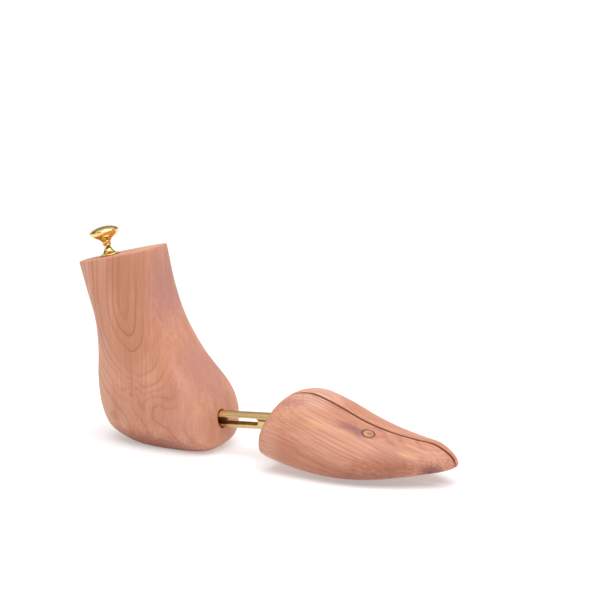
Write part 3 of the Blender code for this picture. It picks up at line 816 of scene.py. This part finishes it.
HEEL_CEDAR = cedar(
    "heel_cedar", pith=(-31, -15, 135), along=(-0.06, 0.09, 1), ring=4.4,
    dive=("Z", 106, -10, (26, 46, 0)), follow=False, calm=(0.5, 28, 42), warp=2.8, seed=2.0,
    contrast=1.05, streaks=0.17, patches=0.25,
    knots=(
        ((-21, -27, 40), (1, 0.2, 0.7), 12, 5, 0), ((0, -27, 32), (1, 0.2, 1), 18, 7, 0),
        ((-42, -24, 20), (1, 0, 1), 14, -6, 0),
    ),
    zones=(
        ((-22, -22, 84), (28, 16, 52), 0.75, CEDAR_AMBER),
        ((-21, -27, 40), (3.5, 6, 2.2), 0.5, CEDAR_PURPLE),
        ((-17, -27, 45), (2.5, 6, 1.5), 0.45, CEDAR_PURPLE),
        ((-30, -18, 124), (24, 14, 28), 0.8, CEDAR_AMBER),
        ((-66, -10, 60), (6, 18, 75), 0.7, CEDAR_MAUVE),
        ((-57, -24, 75), (5, 9, 60), 0.5, CEDAR_HONEY),
        ((-4, 0, 120), (18, 44, 46), 0.75, CEDAR_MAUVE),
        ((22, 0, 62), (22, 44, 52), 0.6, CEDAR_MAUVE),
        ((-18, -26, 34), (40, 14, 22), 0.4, CEDAR_AMBER),
        # painted light: the lower front corner and the rear of the lateral side made lighter, in place of
        # lamplight
        ((22, -26, 30), (20, 12, 20), 0.4, CEDAR_LIGHT),
        ((-50, -22, 46), (16, 16, 34), 0.5, CEDAR_LIGHT),
        # painted shade: darker towards the bottom, where the heel meets the floor
        ((-20, -20, -2), (72, 40, 20), 0.95, CEDAR_LATE),
        ((18, -12, 62), (16, 22, 34), 0.2, CEDAR_AMBER),
    ),
)
FORE_CEDAR_MEDIAL = cedar(
    "forepart_medial_cedar", pith=(150, 20, -30), along=(1, 0.04, -0.24), ring=1.7, warp=2.4, seed=5.0,
    # painted highlight: a paler band along the top beside the split, for the sheen from overhead; sawn
    # paints shade in the split
    contrast=0.8, streaks=0.3, zones=(((114, 2, 50), (38, 28, 10), 0.7, CEDAR_PALE),), sawn=True,
)
FORE_CEDAR_LATERAL = cedar(
    "forepart_lateral_cedar", pith=(150, -6, -26), along=(1, -0.03, 0), ring=1.7,
    dive=("X", 70, 230, (0, 0, -38)), warp=2.4, seed=8.0, contrast=1.15, streaks=0.38,
    knots=(((157, -13, 31), (1, 1, 0), 12, 3, 0), ((203, -12, 11), (1, 0.6, 1), 9, 5, 2.6)),
    zones=(
        # painted highlight: a paler band along the top beside the split, for the sheen from overhead
        ((114, -8, 50), (38, 18, 9), 0.7, CEDAR_PALE),
        ((147, -16, 34), (25, 7, 7), 0.8, CEDAR_PURPLE),
        ((100, -14, 48), (17, 6, 5), 0.6, CEDAR_MAUVE),
        ((90, -30, 18), (16, 18, 24), 0.6, CEDAR_PALE),
        ((203, -13, 12), (14, 9, 7), 0.95, CEDAR_PURPLE),
        ((209, -4, 17), (5, 4, 5), 0.6, CEDAR_KNOT),
        ((176, -24, 17), (28, 13, 13), 0.9, srgb(180, 116, 88)),
        ((184, -17, 22), (17, 5, 4), 0.9, CEDAR_HONEY),
        ((172, -14, 27), (10, 5, 4), 0.5, CEDAR_MAUVE),
        ((102, -26, 42), (16, 7, 5), 0.5, CEDAR_HONEY),
        ((122, -24, 37), (18, 7, 4.5), 0.55, CEDAR_HONEY),
        ((142, -21, 33), (14, 6, 3.5), 0.5, CEDAR_HONEY),
        # painted shade: darker towards the sole, where the floor gives it less light
        ((165, -38, -3), (66, 34, 23), 0.85, CEDAR_LATE),
    ),
    # painted shade: a dark ring round the stop pin's plug, where shade falls in its gap; sawn paints shade
    # in the split
    plug_gap_shade=(157, -13, 4.2, 4.55), sawn=True,
)
PLUG_CEDAR = cedar(
    "plug_cedar", pith=(155, -11, 30), along=(0.3, 0.2, 1), ring=1.1, warp=1.6, seed=1.0,
    contrast=1.2, streaks=0.5,
    zones=(
        ((157, -13, 31), (30, 30, 30), 0.7, CEDAR_HONEY),
        ((158, -12.5, 31), (3.2, 2.4, 30), 0.7, CEDAR_LATE),
    ),
    # painted shade: a dark ring round the plug's edge, where shade falls in the gap round it
    plug_gap_shade=(157, -13, 3.75, 6.0),
)
KNOB_BRASS = brass("polished_brass", (0.87, 0.63, 0.25), 0.09)
TUBE_BRASS = brass("tube_brass", (0.69, 0.48, 0.22), 0.22, TUBE_RADIUS - TUBE_WALL)
STEEL = steel("bright_steel")
NYLON = nylon("off_white_nylon")

heel = heel_block()
medial = forepart_half(1, "forepart_medial_cedar_half")
lateral = forepart_half(-1, "forepart_lateral_cedar_half")
place(heel, "heel", "heel_block", HEEL_CEDAR)
place(medial, "slider", "forepart_medial_half", FORE_CEDAR_MEDIAL)
place(lateral, "lateral", "forepart_lateral_half", FORE_CEDAR_LATERAL)

foot, up = knob_place()
upright = up.to_track_quat("Z", "Y").to_matrix().to_4x4()
knob_matrix = Matrix.Translation((foot + up * KNOB_GAP) * MM) @ upright
place(knob_head(knob_matrix), "heel", "knob_head", KNOB_BRASS)
place(knob_foot(knob_matrix), "heel", "knob_foot", KNOB_BRASS)
place(slider_tube(), "slider", "slider_tube", TUBE_BRASS)

rear, front, *winding = MAIN_SPRING
coil_spring(
    "main_spring_coil", on_axis(rear), on_axis(front), (0, 1, 0), *winding,
    "main_spring", ("heel", "slider"),
)
half_length, *winding = SPREAD_SPRING
for node, (x, z) in zip(("rear_spread_spring", "front_spread_spring"), SPREAD_SPRINGS):
    coil_spring(
        f"{node}_coil", (x, half_length, z), (x, -half_length, z), (1, 0, 0), *winding,
        node, ("slider", "lateral"),
    )

# the CAD nodes that no piece stands in for: pins, rod, stud, washer, plugs and closers
for name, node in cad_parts.items():
    if node.hide_render:
        continue
    finish = NYLON if name in ("tube_end_cap", "tube_front_plug") else STEEL
    if name.endswith("_plug") and name != "tube_front_plug":
        finish = PLUG_CEDAR
    node.data.materials.clear()
    node.data.materials.append(finish)

# ---------------------------------------------------------------- stage, light and camera

def pale_floor():
    """A faintly glowing floor, which keeps the shadows on it light."""
    n = material_nodes("pale_floor")
    spot = n.noise(n.add("ShaderNodeTexCoord").outputs["Object"], 3.0)
    white = n.mix(spot, (0.62, 0.62, 0.62), (0.64, 0.64, 0.64))
    return n.finish(
        Base_Color=white, Roughness=0.8, Emission_Color=(1, 0.99, 0.99, 1), Emission_Strength=0.36
    )


FLOOR_HALF_SIZE = 9  # metres
FLOOR_Z = -0.0001

floor_bm = bmesh.new()
bmesh.ops.create_grid(floor_bm, x_segments=1, y_segments=1, size=FLOOR_HALF_SIZE)
floor = mesh_object("floor", floor_bm)
floor.location.z = FLOOR_Z
floor.data.materials.append(pale_floor())

# the room: a bright ceiling, darker walls at mid height and a white backdrop on the far side
world = bpy.data.worlds.new("studio")
bpy.context.scene.world = world
sky = Nodes(world, "Background")
direction = sky.add("ShaderNodeSeparateXYZ", None, {0: sky.add("ShaderNodeTexCoord").outputs["Generated"]})
ceiling = sky.spread(direction.outputs["Z"], 0.5, 0.85, 0.17, 0.9)
behind = sky.spread(direction.outputs["Y"], 0.1, 0.6, 0, 0.7)
backdrop = sky.math("MULTIPLY", behind, sky.spread(direction.outputs["Z"], 0.5, 0.25, 0, 1))
sky.finish(Color=(1, 1, 1, 1), Strength=sky.math("ADD", ceiling, backdrop))


def light(name, kind, location, target, energy, size):
    """A lamp that points at the target; size is the sun's angle or the softbox's side."""
    data = bpy.data.lights.new(name, kind)
    data.energy = energy
    if kind == "SUN":
        data.angle = size
    else:
        data.shape = "SQUARE"
        data.size = size
    lamp = bpy.data.objects.new(name, data)
    bpy.context.scene.collection.objects.link(lamp)
    lamp.location = location
    lamp.rotation_euler = (Vector(target) - Vector(location)).to_track_quat("-Z", "Y").to_euler()


MIDDLE = (0.07, 0, 0.05)
light("overhead", "SUN", (0.5, -0.45, 1.9), MIDDLE, 2.55, math.radians(66))
light("side_softbox", "AREA", (-1.2, -1.2, 0.9), MIDDLE, 2.2, 0.7)

CAMERA_AZIMUTH = math.radians(28)
CAMERA_ELEVATION = math.radians(12.8)
CAMERA_DISTANCE = 1.7
CAMERA_TARGET = Vector((65.8, 60.6, 99.6)) * MM
CAMERA_LENS = 143.8
SENSOR_WIDTH = 36
level = math.cos(CAMERA_ELEVATION)
towards_camera = Vector((
    level * math.sin(CAMERA_AZIMUTH), -level * math.cos(CAMERA_AZIMUTH), math.sin(CAMERA_ELEVATION)
))
camera_data = bpy.data.cameras.new("camera")
camera_data.lens = CAMERA_LENS
camera_data.sensor_width = SENSOR_WIDTH
camera = bpy.data.objects.new("camera", camera_data)
bpy.context.scene.collection.objects.link(camera)
camera.location = CAMERA_TARGET + towards_camera * CAMERA_DISTANCE
camera.rotation_euler = towards_camera.to_track_quat("Z", "Y").to_euler()
bpy.context.scene.camera = camera
bpy.context.scene.view_settings.view_transform = "Standard"
